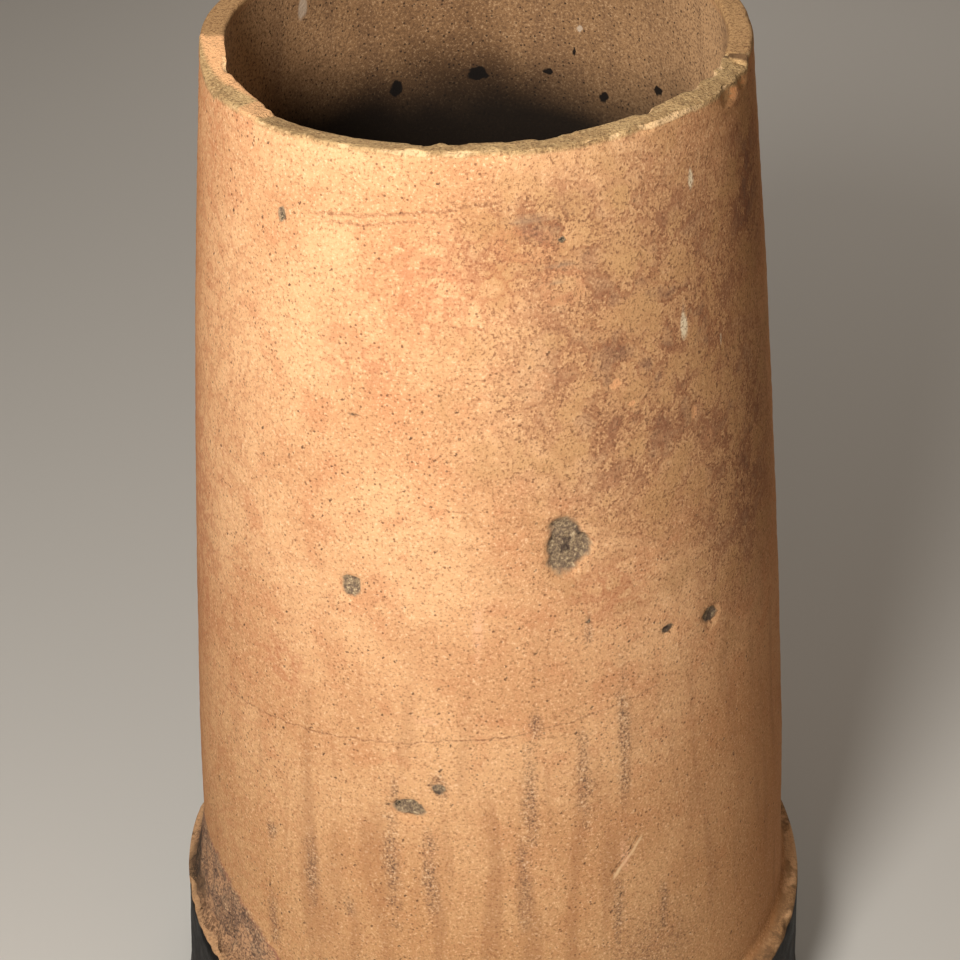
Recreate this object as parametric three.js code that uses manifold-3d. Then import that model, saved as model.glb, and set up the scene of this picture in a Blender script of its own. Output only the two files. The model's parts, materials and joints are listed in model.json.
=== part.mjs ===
// A hand-made terracotta chimney pot: one hollow tapered tube on a wide base flange.
// The tube leans a little on its flange, the front of the rim is broken away,
// the flange is chipped, and old mortar is still stuck above it on one side.
// Millimetres, +Z up. The underside is at z = 0 and the flange's axis is the Z axis.
// Angles are in degrees, counter-clockwise from +X seen from above, so the front is 270.

import * as THREE from 'three';
import { mergeVertices } from 'three/addons/utils/BufferGeometryUtils.js';
import Module from 'manifold-3d';

// Driving dimensions of the sound pot
const RIM_D = 280;            // across the rim, outside
const RIM_WALL = 13;          // wall at the rim
const RIM_ROUND = 2;          // rounding of both arrises of the rim
const BODY_H = 572;           // from the ledge to the rim
const BODY_FOOT_D = 384;      // across the tapered body where it meets the ledge
const BODY_FOOT_WALL = 18;    // wall of the body at the ledge
const BELLY = 2.8;            // how far the side swells past a straight taper, half way up
const LEAN = 11.4;            // how far the rim's centre stands over towards -X
const FLANGE_H = 100;         // from the underside to the ledge
const LEDGE_W = 11;           // how far the ledge stands out past the body's foot
const LEDGE_ROUND = 4;        // rounding of the ledge's outer edge
const COVE_H = 13;            // height of the hollow where the body meets the ledge
const BASE_FLARE = 6;         // how far the underside stands out past the ledge
const BASE_WALL = 24;         // wall at the underside
const BASE_ROUND = 3;         // rounding of the outer edge of the underside
const BORE_CHAMFER = 4;       // chamfer of the flue's lower edge

// The intact rim sags towards the crack that ends the break
const SAG_DEPTH = 4;
const SAG_SPAN = 37;

// The break in the rim, facet by facet: from and to are angles, and inner and outer are how far
// the fracture lies below the rim along its two edges, at the facet's start and at its end
const BREAK_FACETS = [
  { from: 183, to: 197, inner: [-0.8, 6.2], outer: [-0.8, 10] },
  { from: 197, to: 205, inner: [6.2, 8.2], outer: [10, 12] },
  { from: 205, to: 222, inner: [7, 9], outer: [9.8, 8.3] },
  { from: 222, to: 262, inner: [11.5, 8.5], outer: [9.2, 7.2] },
  { from: 262, to: 291, inner: [7.5, 8], outer: [7, 7.8] },
  { from: 291, to: 317, inner: [5.6, 4.5], outer: [6, 5.8] },
  { from: 317, to: 343, inner: [5, 5.6], outer: [7.5, 9] },
];
const BREAK_ROUGHNESS = 0.7;  // how far the fracture's grain stands up and down
const BREAK_GRAIN = 3.75;     // angle between two grains along the break
const BREAK_GRAINS_ACROSS = 3;
const BREAK_LAP = 0.4;        // angle by which two neighbouring facets overlap

// Mortar left on the body above the ledge: where it is, how high it reaches and how thick it is
const MORTAR = { middle: 202, halfSpan: 36, height: 64, thickness: 5 };
const MORTAR_UNEVEN = 0.12;   // share by which the mortar's upper border wanders
const MORTAR_GRIT = 0.3;      // share by which its thickness varies

// Chips out of the outer edge of the ledge: angle, length along the edge, depth and height
const LEDGE_CHIPS = [
  { angle: 195, length: 26, depth: 5, height: 12 },
  { angle: 207, length: 36, depth: 3.5, height: 9 },
  { angle: 338, length: 16, depth: 2.5, height: 6 },
  { angle: 62, length: 24, depth: 4, height: 10 },
  { angle: 128, length: 18, depth: 3, height: 7 },
];

// Chips out of the rim's outer edge, just before the crack
const RIM_CHIPS = [
  { angle: 330, length: 15, depth: 5, height: 9 },
  { angle: 338, length: 11, depth: 4, height: 7 },
  { angle: 272, length: 22, depth: 2.4, height: 5 },
];

// Places where the skin of the body has burst off: angle, height above the ledge, width, height
// and depth of the hollow
const SPALLS = [
  { angle: 284.5, up: 359, width: 23, height: 30, depth: 3 },
  { angle: 245.5, up: 330, width: 11, height: 13, depth: 2.5 },
  { angle: 255.6, up: 195, width: 17, height: 11, depth: 2 },
  { angle: 314.9, up: 285, width: 13, height: 9, depth: 2 },
];

const LUMP_ROUGHNESS = 0.14;  // share by which the edge of a chip or a spall wanders

const COLUMNS = 96;           // flat sides round the pot
const BODY_ROWS = 7;          // steps up the outside of the body above the mortar
const BORE_ROWS = 5;          // steps up the flue
const COVE_ROWS = 4;          // steps round the cove
const MORTAR_ROWS = 5;        // steps up the stretch of body that carries the mortar
const ROUND_ROWS = 2;         // steps round each rounded edge
const SLACK = 6;              // how far a cutter runs past what it cuts

const TOTAL_H = FLANGE_H + BODY_H;
const RIM_R = RIM_D / 2;
const LEDGE_R = BODY_FOOT_D / 2 + LEDGE_W;
const LEDGE_TOP_R = LEDGE_R - LEDGE_ROUND;
const BASE_R = LEDGE_R + BASE_FLARE;
const MORTAR_REACH = 1 + MORTAR_UNEVEN;
const rad = THREE.MathUtils.degToRad;
const lerp = THREE.MathUtils.lerp;

// A repeatable value between -1 and 1 for each pair of numbers
function grain(a, b) {
  const wave = Math.sin(a * 12.9898 + b * 78.233) * 43758.5453;
  return 2 * (wave - Math.floor(wave)) - 1;
}

// How far an angle lies from another, in degrees, between -180 and 180
function turnFrom(angle, start) {
  return THREE.MathUtils.euclideanModulo(angle - start + 180, 360) - 180;
}

function angleOf(x, y) {
  return THREE.MathUtils.radToDeg(Math.atan2(y, x));
}

// Outside and inside radius of the upright body at a share of its height
function bodyRadius(share) {
  return lerp(BODY_FOOT_D / 2, RIM_R, share) + BELLY * 4 * share * (1 - share);
}

function boreRadius(share) {
  return bodyRadius(share) - lerp(BODY_FOOT_WALL, RIM_WALL, share);
}

// Points along a rounded or hollow corner of the section, from one angle to the other
function roundCorner(centreR, centreZ, sizeR, sizeZ, fromAngle, toAngle, rows) {
  const points = [];
  for (let i = 0; i <= rows; i++) {
    const angle = rad(lerp(fromAngle, toAngle, i / rows));
    points.push(new THREE.Vector2(centreR + sizeR * Math.cos(angle), centreZ + sizeZ * Math.sin(angle)));
  }
  return points;
}

function roundEdge(centreR, centreZ, radius, fromAngle, toAngle) {
  return roundCorner(centreR, centreZ, radius, radius, fromAngle, toAngle, ROUND_ROWS);
}

// The section of the wall, from the underside up the outside, over the rim and down the flue
function wallSection() {
  const points = roundEdge(BASE_R - BASE_ROUND, BASE_ROUND, BASE_ROUND, -90, 0);
  points.push(...roundEdge(LEDGE_TOP_R, FLANGE_H - LEDGE_ROUND, LEDGE_ROUND, 0, 90));

  const coveTopR = bodyRadius(COVE_H / BODY_H);
  const coveWidth = LEDGE_TOP_R - coveTopR;
  const cove = roundCorner(LEDGE_TOP_R, FLANGE_H + COVE_H, coveWidth, COVE_H, 270, 180, COVE_ROWS);
  points.push(...cove.slice(1));

  const mortarTop = Math.max(MORTAR_REACH * MORTAR.height, COVE_H);
  for (let i = 1; i <= MORTAR_ROWS; i++) {
    const up = lerp(COVE_H, mortarTop, i / MORTAR_ROWS);
    points.push(new THREE.Vector2(bodyRadius(up / BODY_H), FLANGE_H + up));
  }
  for (let i = 1; i < BODY_ROWS; i++) {
    const up = lerp(mortarTop, BODY_H - RIM_ROUND, i / BODY_ROWS);
    points.push(new THREE.Vector2(bodyRadius(up / BODY_H), FLANGE_H + up));
  }

  const roundZ = TOTAL_H - RIM_ROUND;
  points.push(...roundEdge(RIM_R - RIM_ROUND, roundZ, RIM_ROUND, 0, 90));
  points.push(...roundEdge(RIM_R - RIM_WALL + RIM_ROUND, roundZ, RIM_ROUND, 90, 180));

  for (let i = 1; i <= BORE_ROWS; i++) {
    const share = 1 - i / BORE_ROWS;
    points.push(new THREE.Vector2(boreRadius(share), lerp(FLANGE_H, TOTAL_H, share)));
  }
  points.push(new THREE.Vector2(BASE_R - BASE_WALL, BORE_CHAMFER));
  points.push(new THREE.Vector2(BASE_R - BASE_WALL + BORE_CHAMFER, 0));
  points.push(points[0].clone());
  return points;
}

// The mortar's thickness on the outside at an angle and a height above the ledge
function mortarAt(angle, up) {
  const along = turnFrom(angle, MORTAR.middle) / MORTAR.halfSpan;
  const wander = 1 + MORTAR_UNEVEN * grain(Math.round(angle), 3);
  const reach = MORTAR.height * (1 - along * along) * wander;
  if (Math.abs(along) >= 1 || up >= reach) {
    return 0;
  }
  return MORTAR.thickness * (1 - up / reach) * (1 + MORTAR_GRIT * grain(angle, up));
}

// How far the intact rim sags at an angle
function sagAt(angle) {
  const along = turnFrom(angle, BREAK_FACETS.at(-1).to) / SAG_SPAN;
  return along <= 1 && along >= -1 ? SAG_DEPTH * (0.5 + 0.5 * Math.cos(Math.PI * along)) : 0;
}

function weld(geometry) {
  geometry.deleteAttribute('normal');
  geometry.deleteAttribute('uv');
  return mergeVertices(geometry, 1e-3);
}

// Moves every vertex of a geometry by a function that changes the given vector
function reshape(geometry, change) {
  const position = geometry.attributes.position;
  const point = new THREE.Vector3();
  for (let i = 0; i < position.count; i++) {
    point.fromBufferAttribute(position, i);
    change(point);
    position.setXYZ(i, point.x, point.y, point.z);
  }
  return geometry;
}

const wasm = await Module();
wasm.setup();

function toSolid(geometry) {
  return new wasm.Manifold(new wasm.Mesh({
    numProp: 3,
    vertProperties: new Float32Array(geometry.attributes.position.array),
    triVerts: new Uint32Array(geometry.index.array),
  }));
}

function toGeometry(solid) {
  const mesh = solid.getMesh();
  const geometry = new THREE.BufferGeometry();
  geometry.setAttribute('position', new THREE.BufferAttribute(mesh.vertProperties, 3));
  geometry.setIndex(new THREE.BufferAttribute(mesh.triVerts, 1));
  return geometry;
}

// The sound pot, upright, with its mortar and the sag of its rim
function thrownPot() {
  const pot = weld(new THREE.LatheGeometry(wallSection(), COLUMNS).rotateX(Math.PI / 2));
  return toSolid(reshape(pot, (point) => {
    const angle = angleOf(point.x, point.y);
    const radius = Math.hypot(point.x, point.y);
    const up = point.z - FLANGE_H;
    const outside = radius > boreRadius(Math.max(up, 0) / BODY_H) + RIM_WALL / 2;
    if (up > BODY_H - 2 * RIM_ROUND) {
      point.z -= sagAt(angle);
    } else if (outside && up > 0 && radius < LEDGE_TOP_R) {
      const swell = 1 + Math.min(mortarAt(angle, up), LEDGE_TOP_R - radius) / radius;
      point.x *= swell;
      point.y *= swell;
    }
  }));
}

// What is missing above one facet of the break
function facetCutter(facet, number) {
  const around = Math.max(2, Math.round((facet.to - facet.from) / BREAK_GRAIN));
  const block = weld(new THREE.BoxGeometry(1, 1, 1, BREAK_GRAINS_ACROSS, around, 1));
  return toSolid(reshape(block, (point) => {
    const across = point.x + 0.5;
    const along = point.y + 0.5;
    const angle = rad(lerp(facet.from, facet.to + BREAK_LAP, along));
    const radius = lerp(RIM_R - RIM_WALL - SLACK, RIM_R + SLACK, across);
    const wallShare = (radius - RIM_R + RIM_WALL) / RIM_WALL;
    const innerDrop = lerp(facet.inner[0], facet.inner[1], along);
    const outerDrop = lerp(facet.outer[0], facet.outer[1], along);
    const rough = BREAK_ROUGHNESS * grain(number + along * around, across * 7);
    const floor = TOTAL_H - lerp(innerDrop, outerDrop, wallShare) + rough;
    point.set(radius * Math.cos(angle), radius * Math.sin(angle), point.z < 0 ? floor : TOTAL_H + SLACK);
  }));
}

// A rough lump, placed on the outside of the pot, that takes a chip or a spall out of it
function lumpCutter(angle, radius, z, length, height, depth) {
  const lump = weld(new THREE.IcosahedronGeometry(1, 2));
  return toSolid(reshape(lump, (point) => {
    point.multiplyScalar(1 + LUMP_ROUGHNESS * grain(point.x * 5 + angle, point.y * 3 + point.z * 4));
    point.set(radius + point.x * depth, point.y * length / 2, z + point.z * height / 2);
    point.applyAxisAngle(new THREE.Vector3(0, 0, 1), rad(angle));
  }));
}

function breakRim(pot) {
  let broken = pot;
  BREAK_FACETS.forEach((facet, number) => {
    broken = broken.subtract(facetCutter(facet, number));
  });
  for (const chip of RIM_CHIPS) {
    const z = TOTAL_H - SAG_DEPTH - BREAK_ROUGHNESS - chip.height / 2;
    broken = broken.subtract(lumpCutter(chip.angle, RIM_R, z, chip.length, chip.height, chip.depth));
  }
  return broken;
}

function chipLedge(pot) {
  let chipped = pot;
  for (const chip of LEDGE_CHIPS) {
    const z = FLANGE_H - LEDGE_ROUND / 2;
    chipped = chipped.subtract(lumpCutter(chip.angle, LEDGE_R, z, chip.length, chip.height, chip.depth));
  }
  return chipped;
}

function spallBody(pot) {
  let spalled = pot;
  for (const spall of SPALLS) {
    const radius = bodyRadius(spall.up / BODY_H);
    const z = FLANGE_H + spall.up;
    spalled = spalled.subtract(lumpCutter(spall.angle, radius, z, spall.width, spall.height, spall.depth));
  }
  return spalled;
}

// The tube leans towards -X as it rises, and its rim tips with it
function lean(geometry) {
  return reshape(geometry, (point) => {
    const share = THREE.MathUtils.clamp((point.z - FLANGE_H) / BODY_H, 0, 1);
    const tip = LEAN / BODY_H;
    point.z += tip * point.x * share;
    point.x -= LEAN * share;
  });
}

const terracotta = new THREE.MeshStandardMaterial({ color: 0xd29a63, roughness: 0.92, metalness: 0 });

const pot = new THREE.Mesh(lean(toGeometry(spallBody(chipLedge(breakRim(thrownPot()))))), terracotta);
pot.name = 'chimney_pot';

const part = new THREE.Group();
part.add(pot);

export default part;
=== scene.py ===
# %% [markdown]
# A weathered chimney pot
# A chimney pot stands on top of a stack and lifts the smoke of one flue clear of the roof. This one is a
# tapered tube of fired clay on a wide flange. It has stood outside for a century: the front of its rim has
# broken away, the skin has burst off in places, old mortar clings above the flange and the foot is black
# with tar. The lesson throws the clay wall as one mesh with Geometry Nodes, wears it down with the same
# nodes, and then builds its finish in layers: clay, weather stains, soot, mortar, tar and fresh breaks.
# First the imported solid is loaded. It says where everything goes, and the dressed pot has to stay inside
# its box.

# %% Load the frame
import json
import math

import bpy
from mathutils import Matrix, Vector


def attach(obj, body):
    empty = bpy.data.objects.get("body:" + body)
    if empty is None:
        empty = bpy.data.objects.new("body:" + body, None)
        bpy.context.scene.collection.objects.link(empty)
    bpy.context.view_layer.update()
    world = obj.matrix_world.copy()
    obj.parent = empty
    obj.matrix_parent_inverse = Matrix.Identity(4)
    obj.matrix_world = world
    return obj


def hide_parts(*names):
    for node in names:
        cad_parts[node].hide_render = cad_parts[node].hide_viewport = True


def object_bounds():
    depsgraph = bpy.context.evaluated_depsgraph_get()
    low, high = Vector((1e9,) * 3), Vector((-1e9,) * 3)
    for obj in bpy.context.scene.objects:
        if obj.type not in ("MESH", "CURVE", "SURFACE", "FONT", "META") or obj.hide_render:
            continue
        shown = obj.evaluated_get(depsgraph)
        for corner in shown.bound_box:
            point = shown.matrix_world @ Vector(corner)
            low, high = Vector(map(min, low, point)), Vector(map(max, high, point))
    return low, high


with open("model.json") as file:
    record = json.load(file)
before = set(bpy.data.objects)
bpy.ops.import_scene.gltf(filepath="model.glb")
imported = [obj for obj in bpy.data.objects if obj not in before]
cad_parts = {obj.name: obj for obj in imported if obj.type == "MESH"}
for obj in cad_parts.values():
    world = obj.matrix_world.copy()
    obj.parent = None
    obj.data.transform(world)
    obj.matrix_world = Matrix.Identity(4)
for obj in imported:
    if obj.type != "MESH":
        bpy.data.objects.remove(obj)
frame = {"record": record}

MM = 0.001
cad_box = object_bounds()
rim_seat = next(mount for mount in frame["record"]["mounts"] if mount["name"] == "rim_seat")
print("CAD box:", [[round(value, 4) for value in corner] for corner in cad_box])

# %% [markdown]
# The sizes come first. The height, the lean and the foot's width are read from the frame, so the dressed
# pot follows the solid. The rest are the potter's own measures. Angles run counter-clockwise from +X, seen
# from above, so the broken front of the rim is at 270 degrees.

# %% Sizes of the pot
BASE_R = cad_box[1][0]
TOTAL_H = rim_seat["pos_m"][2]
LEAN = -rim_seat["pos_m"][0]
RIM_WALL = 13 * MM
RIM_R = rim_seat["pos_m"][1] + RIM_WALL / 2
RIM_ROUND = 2 * MM
FLANGE_H = 100 * MM
BODY_H = TOTAL_H - FLANGE_H
BODY_FOOT_R = 192 * MM
BODY_FOOT_WALL = 18 * MM
BELLY = 2.8 * MM
LEDGE_R = BODY_FOOT_R + 11 * MM
LEDGE_ROUND = 4 * MM
LEDGE_TOP_R = LEDGE_R - LEDGE_ROUND
COVE_H = 13 * MM
BASE_WALL = 24 * MM
BASE_ROUND = 3 * MM
BORE_CHAMFER = 4 * MM
SAG_DEPTH = 4 * MM
SAG_SPAN = 37
print(f"rim {2 * RIM_R / MM:.0f} mm across, {TOTAL_H / MM:.0f} mm tall, leaning {LEAN / MM:.1f} mm")

# %% [markdown]
# The wall has one section all the way round, as anything thrown on a wheel has. It runs up the outside,
# over the rim, down the flue and back along the underside. Every point also says how far across the wall it
# lies, from 0 at the flue to 1 outside, and whether it is on top of the rim. Points lie close together
# where the pot is broken or chipped, and far apart where the wall is smooth, so that the triangles go where
# they are seen.

# %% The section of the wall
COARSE_STEP = 4.2 * MM
FINE_BANDS = [  # middle and half height above the ledge, and the step inside, in millimetres
    (559, 15, 1.3), (359, 17, 1.8), (330, 8, 2.2), (285, 7, 2.2), (195, 8, 2.2), (25, 15, 2.0)]


def body_radius(up):
    share = up / BODY_H
    return BODY_FOOT_R + (RIM_R - BODY_FOOT_R) * share + BELLY * 4 * share * (1 - share)


def bore_radius(up):
    share = up / BODY_H
    return body_radius(up) - BODY_FOOT_WALL - (RIM_WALL - BODY_FOOT_WALL) * share


def arc(centre_r, centre_z, size_r, size_z, start, end, steps):
    turns = [math.radians(start + (end - start) * i / steps) for i in range(steps + 1)]
    return [(centre_r + size_r * math.cos(turn), centre_z + size_z * math.sin(turn)) for turn in turns]


def body_heights():
    heights = [COVE_H]
    while heights[-1] < BODY_H - RIM_ROUND:
        step = COARSE_STEP
        for middle, half, fine in FINE_BANDS:
            if abs(heights[-1] / MM - middle) < half:
                step = fine * MM
        heights.append(heights[-1] + step)
    return heights[1:-1]


def spaced(start, end, count):
    return [start + (end - start) * i / count for i in range(count + 1)]


def wall_section():
    """(radius, height, share across the wall, 1 on top of the rim) for each point, ending at the first."""
    toe = arc(BASE_R - BASE_ROUND, BASE_ROUND, BASE_ROUND, BASE_ROUND, -90, 0, 4)
    points = [(r, z, 1, 0) for r, z in toe]
    side_top = FLANGE_H - LEDGE_ROUND
    for z in spaced(BASE_ROUND, side_top, 18)[1:-1]:
        share = (z - BASE_ROUND) / (side_top - BASE_ROUND)
        points.append((BASE_R + (LEDGE_R - BASE_R) * share, z, 1, 0))
    points += [(r, z, 1, 0) for r, z in arc(LEDGE_TOP_R, side_top, LEDGE_ROUND, LEDGE_ROUND, 0, 90, 6)]
    cove_w = LEDGE_TOP_R - body_radius(COVE_H)
    points += [(r, z, 1, 0) for r, z in arc(LEDGE_TOP_R, FLANGE_H + COVE_H, cove_w, COVE_H, 270, 180, 9)[1:]]
    points += [(body_radius(up), FLANGE_H + up, 1, 0) for up in body_heights()]

    round_z = TOTAL_H - RIM_ROUND
    inner_r = RIM_R - RIM_WALL
    over = arc(RIM_R - RIM_ROUND, round_z, RIM_ROUND, RIM_ROUND, 0, 90, 3)
    over += [(r, TOTAL_H) for r in spaced(RIM_R - RIM_ROUND, inner_r + RIM_ROUND, 8)[1:-1]]
    over += arc(inner_r + RIM_ROUND, round_z, RIM_ROUND, RIM_ROUND, 90, 180, 3)
    points += [(r, z, (r - inner_r) / RIM_WALL, 1) for r, z in over]

    for up in spaced(BODY_H - RIM_ROUND, 420 * MM, 30)[1:] + spaced(420 * MM, 0, 36)[1:]:
        points.append((bore_radius(up), FLANGE_H + up, 0, 0))
    for share in spaced(0, 1, 8)[1:]:
        inside_r = bore_radius(0) + (BASE_R - BASE_WALL - bore_radius(0)) * share
        points.append((inside_r, FLANGE_H + (BORE_CHAMFER - FLANGE_H) * share, 0, 0))
    points.append((BASE_R - BASE_WALL + BORE_CHAMFER, 0, 0, 0))
    points.append(points[0])
    return points


section = wall_section()
print(f"{len(section)} points in the section")

# %% [markdown]
# A node tree is easier to read when it is written as a formula. A Field stands for a value on its way
# through a tree, and adding or multiplying two of them adds a Math node. The same helpers serve a shader
# and a Geometry Nodes tree, because both have these nodes, so one formula can carve a hollow and colour it.

# %% Helpers for node trees
class Field:
    """A value in a node tree that can be added, subtracted, multiplied and divided."""

    def __init__(self, tree, socket):
        self.tree = tree
        self.socket = socket

    def __add__(self, other):
        return calc("ADD", self, other)

    def __sub__(self, other):
        return calc("SUBTRACT", self, other)

    def __mul__(self, other):
        return calc("MULTIPLY", self, other)

    def __truediv__(self, other):
        return calc("DIVIDE", self, other)

    def __rsub__(self, other):
        return calc("SUBTRACT", other, self)

    __radd__ = __add__
    __rmul__ = __mul__


def plug(socket, value):
    if isinstance(value, Field):
        value.tree.links.new(value.socket, socket)
    elif isinstance(value, tuple) and socket.type == "RGBA":
        socket.default_value = (*value[:3], 1)
    else:
        socket.default_value = value


def node(tree, kind, inputs=(), **settings):
    made = tree.nodes.new(kind)
    made.location = (200 * (len(tree.nodes) % 30), -240 * (len(tree.nodes) // 30))
    for name, value in settings.items():
        setattr(made, name, value)
    for key, value in dict(inputs).items():
        if isinstance(key, str):
            plug(next(socket for socket in made.inputs if socket.name == key and socket.enabled), value)
        else:
            plug(made.inputs[key], value)
    return made


def result(made, name=None):
    for socket in made.outputs:
        if socket.enabled and name in (None, socket.name):
            return Field(made.id_data, socket)


def tree_of(*values):
    return next(value.tree for value in values if isinstance(value, Field))


def calc(operation, *values):
    """One Math node."""
    return result(node(tree_of(*values), "ShaderNodeMath", enumerate(values), operation=operation))


def move(operation, *values):
    """One Vector Math node."""
    made = node(tree_of(*values), "ShaderNodeVectorMath", enumerate(values), operation=operation)
    return result(made)


def stretch(vector, x, y, z):
    return move("MULTIPLY", vector, (x, y, z))


def split(vector):
    made = node(vector.tree, "ShaderNodeSeparateXYZ", {0: vector})
    return [Field(vector.tree, socket) for socket in made.outputs]


def join(x, y, z):
    return result(node(tree_of(x, y, z), "ShaderNodeCombineXYZ", {0: x, 1: y, 2: z}))


def fade(value, start, end, low=0.0, high=1.0):
    """low where value is at start, high where it is at end, and a smooth change between."""
    inputs = {"Value": value, "From Min": start, "From Max": end, "To Min": low, "To Max": high}
    return result(node(value.tree, "ShaderNodeMapRange", inputs, interpolation_type="SMOOTHSTEP"))


def least(first, second):
    return calc("MINIMUM", first, second)


def most(first, second):
    return calc("MAXIMUM", first, second)


def noise(place, per_metre, detail, rough=0.5):
    """Cloudy noise, near 0.5, with so many waves to the metre."""
    inputs = {"Vector": place, "Scale": per_metre, "Detail": detail, "Roughness": rough}
    return result(node(place.tree, "ShaderNodeTexNoise", inputs), "Fac")


def turn_from_front(place):
    """Degrees round the pot from the front, growing towards +X."""
    x, y, _ = split(place)
    return calc("ARCTAN2", x, 0.0 - y) * math.degrees(1)


def front_turn(angle):
    """The same for an angle that is known."""
    return (angle - 270 + 180) % 360 - 180


print("helpers ready")

# %% [markdown]
# What happened to the pot is written down once, in named lists. The shape and the finish both read them: a
# spall is a hollow in the mesh and a patch of grey grit in the material, at the same place and with the
# same edge. Each facet of the break says how far it lies below the rim along its inner and outer edges, at
# both ends.

# %% The breaks, chips and spalls
BREAK_FACETS = [  # from and to in degrees, then inner and outer drops at the two ends in millimetres
    (183, 197, (-0.8, 6.2), (-0.8, 10)),
    (197, 205, (6.2, 8.2), (10, 12)),
    (205, 222, (7, 9), (9.8, 8.3)),
    (222, 262, (11.5, 8.5), (9.2, 7.2)),
    (262, 291, (7.8, 7.2), (7, 7.2)),
    (291, 317, (6.6, 4.8), (6.6, 6)),
    (317, 343, (4.8, 5.6), (6.8, 9)),
]
BREAK_END = BREAK_FACETS[-1][1]
# Every mark is an angle, a height above the ledge, a width and a height, and a hollow has its depth as well.
RIM_CHIPS = [(330, 560, 15, 11, 2), (337.5, 561, 10, 9, 1.6), (272, 563, 20, 5, 1.5), (258, 563, 10, 4, 1.2),
             (303, 564, 14, 5, 1.3), (236, 562, 10, 5, 1.2), (20, 569, 9, 5, 1.5), (118, 570, 12, 5, 1.6)]
LEDGE_CHIPS = [(195, -2, 26, 13, 4.5), (207, -2, 36, 11, 3.5), (338, -2, 14, 5, 1.6), (62, -2, 24, 11, 3),
               (128, -2, 18, 8, 3), (326, -2, 9, 5, 1.4), (15, -2, 12, 5, 1.2)]
SPALLS = [(285, 356.5, 24, 31, 2.6), (245.2, 327.5, 11, 13, 2.2), (255.6, 192, 18, 11, 1.8),
          (315.6, 282, 12, 11, 1.8), (261, 207, 8, 8, 1.2), (304.6, 289, 9, 6, 1.2), (230, 521, 6, 8, 1.4),
          (278.1, 442, 5, 4, 1), (288.4, 310, 3.5, 5, 1), (285.6, 520, 4, 4, 1), (60, 300, 20, 16, 2.2),
          (121, 420, 12, 15, 1.8), (165, 190, 10, 9, 1.6), (20, 430, 9, 12, 1.4)]
FRESH_CHIPS = [(295, 441, 8, 7, 0.8), (298.5, 428, 5, 4, 0.6), (313, 409, 7, 9, 0.8), (95, 120, 9, 7, 0.8)]
MORTAR_MIDDLE = 202
MORTAR_HALF_SPAN = 36
MORTAR_H = 64 * MM
MORTAR_THICK = 5 * MM
print(len(SPALLS), "spalls,", len(LEDGE_CHIPS) + len(RIM_CHIPS), "chips in rim and ledge")

# %% [markdown]
# Stains and scratches have no depth, only colour. The stain spreads over the front right of the tube, rain
# has washed gritty streaks down from the pits, and old scratches show pale. They could be painted with one
# noise, but the real ones have places of their own, so they are listed in the same way.

# %% Stains, streaks and scratches
STAIN = [(305, 455, 190, 240), (336, 505, 80, 130), (283, 520, 100, 70), (328, 370, 110, 220),
         (40, 380, 170, 190)]
RED_PATCHES = [(229, 261, 40, 34), (292.8, 325, 46, 40), (248, 455, 50, 30), (196, 300, 60, 190),
               (262, 500, 80, 60), (140, 300, 60, 50)]
STREAKS = [(226, 137, 8, 18), (225.6, 67, 9, 52), (235.8, 127, 9, 60), (243.7, 110, 8, 17),
           (253, 204, 5, 14), (252.3, 148, 10, 80), (261.2, 208, 9, 24), (259.3, 147, 10, 56),
           (278.4, 251, 7, 20),
           (277.3, 199, 8, 62), (275.8, 142, 8, 58), (288.4, 303, 5, 20), (286.9, 210, 9, 58),
           (294.7, 229, 8, 84), (293, 110, 8, 54), (302.4, 100, 7, 38), (60, 240, 8, 60), (110, 180, 9, 70)]
GRIME = [(262, 40, 130, 60), (300, 70, 60, 60), (238, 30, 50, 40), (100, 60, 150, 70)]
BLACK_SPOTS = [(288.4, 311, 4, 6), (246.5, 427, 8, 3), (190, 14, 62, 40), (208, -3, 12, 6), (225, -1, 10, 6),
               (253.4, 194, 4, 6), (230, 520, 3, 5), (285.6, 520, 3, 4), (278.1, 442, 3, 3),
               (340, -3, 5, 4), (100, 2, 22, 12)]
PALE_MARKS = [(315, 532, 3.5, 11), (311.2, 460, 4.5, 17), (322, 440, 2.5, 8), (75, 330, 8, 30)]
PINK_MARKS = [(268.6, 310, 6, 42), (294.4, 150, 8, 28), (259, 252, 16, 6), (180, 260, 8, 30)]
SOOT_SPOTS = [(111, 482, 9, 12), (90.5, 487, 13, 10), (72.5, 491, 8, 6), (58, 479, 9, 9), (41, 494, 7, 7),
              (66, 505, 4, 9)]
BARE_SPOTS = [(137.9, 547, 8, 15), (64, 520, 5, 5)]
LICHEN_SPOTS = [(282.8, 541, 12, 13), (288.3, 535, 17, 17), (297.9, 536, 10, 14), (296.4, 507, 22, 22),
                (291.9, 522, 12, 13), (303.2, 480, 14, 14), (283, 470, 16, 12),
                (310, 515, 12, 14), (60, 420, 20, 18)]
RUST_RINGS = [(258.7, 509, 20, 17), (285.3, 498, 24, 22), (279, 520, 30, 18), (244.6, 466, 26, 18)]
ASH_MARKS = [(285.4, 508, 18, 4), (279, 532, 26, 5), (284, 500, 12, 3), (150, 480, 20, 5)]
MARKS = {"spall": SPALLS, "lichen": LICHEN_SPOTS, "rust": RUST_RINGS, "ash": ASH_MARKS, "fresh": FRESH_CHIPS,
         "torn": RIM_CHIPS[:2], "stain": STAIN, "red": RED_PATCHES, "streak": STREAKS, "grime": GRIME,
         "black": BLACK_SPOTS, "pale": PALE_MARKS, "pink": PINK_MARKS, "soot": SOOT_SPOTS,
         "bare": BARE_SPOTS}
print(sum(len(marks) for marks in MARKS.values()), "marks in", len(MARKS), "kinds")

# %% [markdown]
# Each mark needs the same small formula: how many times its own half size a place lies away from its
# middle. The angle between them is wrapped, so that a mark at the back is whole. A node group holds the
# formula once, and each mark is then a single node. What is less than 1 lies in the mark.

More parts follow.
